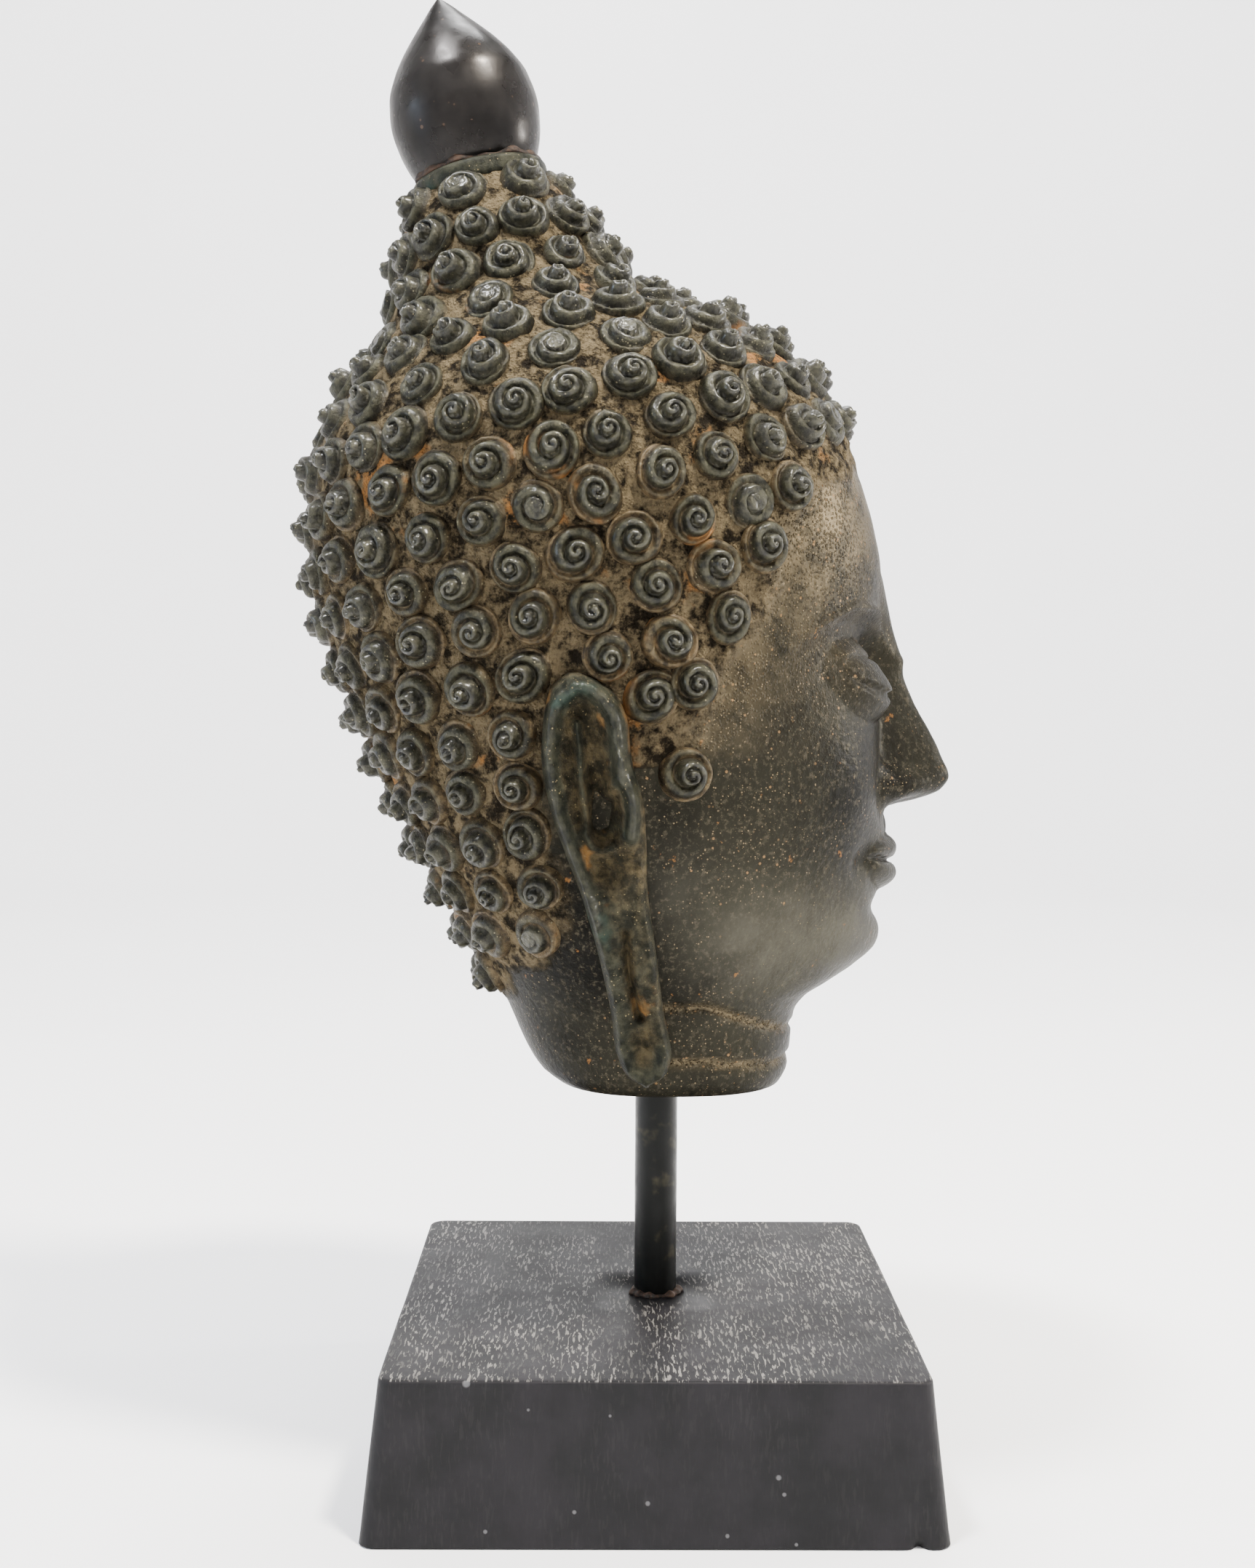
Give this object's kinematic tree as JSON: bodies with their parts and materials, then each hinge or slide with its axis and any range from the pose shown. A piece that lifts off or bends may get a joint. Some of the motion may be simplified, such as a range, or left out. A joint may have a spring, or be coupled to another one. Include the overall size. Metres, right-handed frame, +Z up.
{
  "type": "bronze head fragment on a stand",
  "caption": "Cast bronze head with snail-shell curls, long ears and a bud finial, on a steel rod set in a black tapered wooden block.",
  "frame": {"origin": "centre of the wooden block's underside", "axes": "+Z up; the face looks along -Y; +X is the head's left side"},
  "size_m": [0.1592, 0.1999, 0.4364],
  "materials": {
    "patinated_bronze": "matt, dusty patina",
    "polished_bronze": "rubbed satin",
    "black_steel": "satin",
    "black_wood": "satin paint over open grain"
  },
  "bodies": {
    "root": {"head": "patinated_bronze", "finial": "polished_bronze", "rod": "black_steel", "base": "black_wood"}
  },
  "joints": []
}
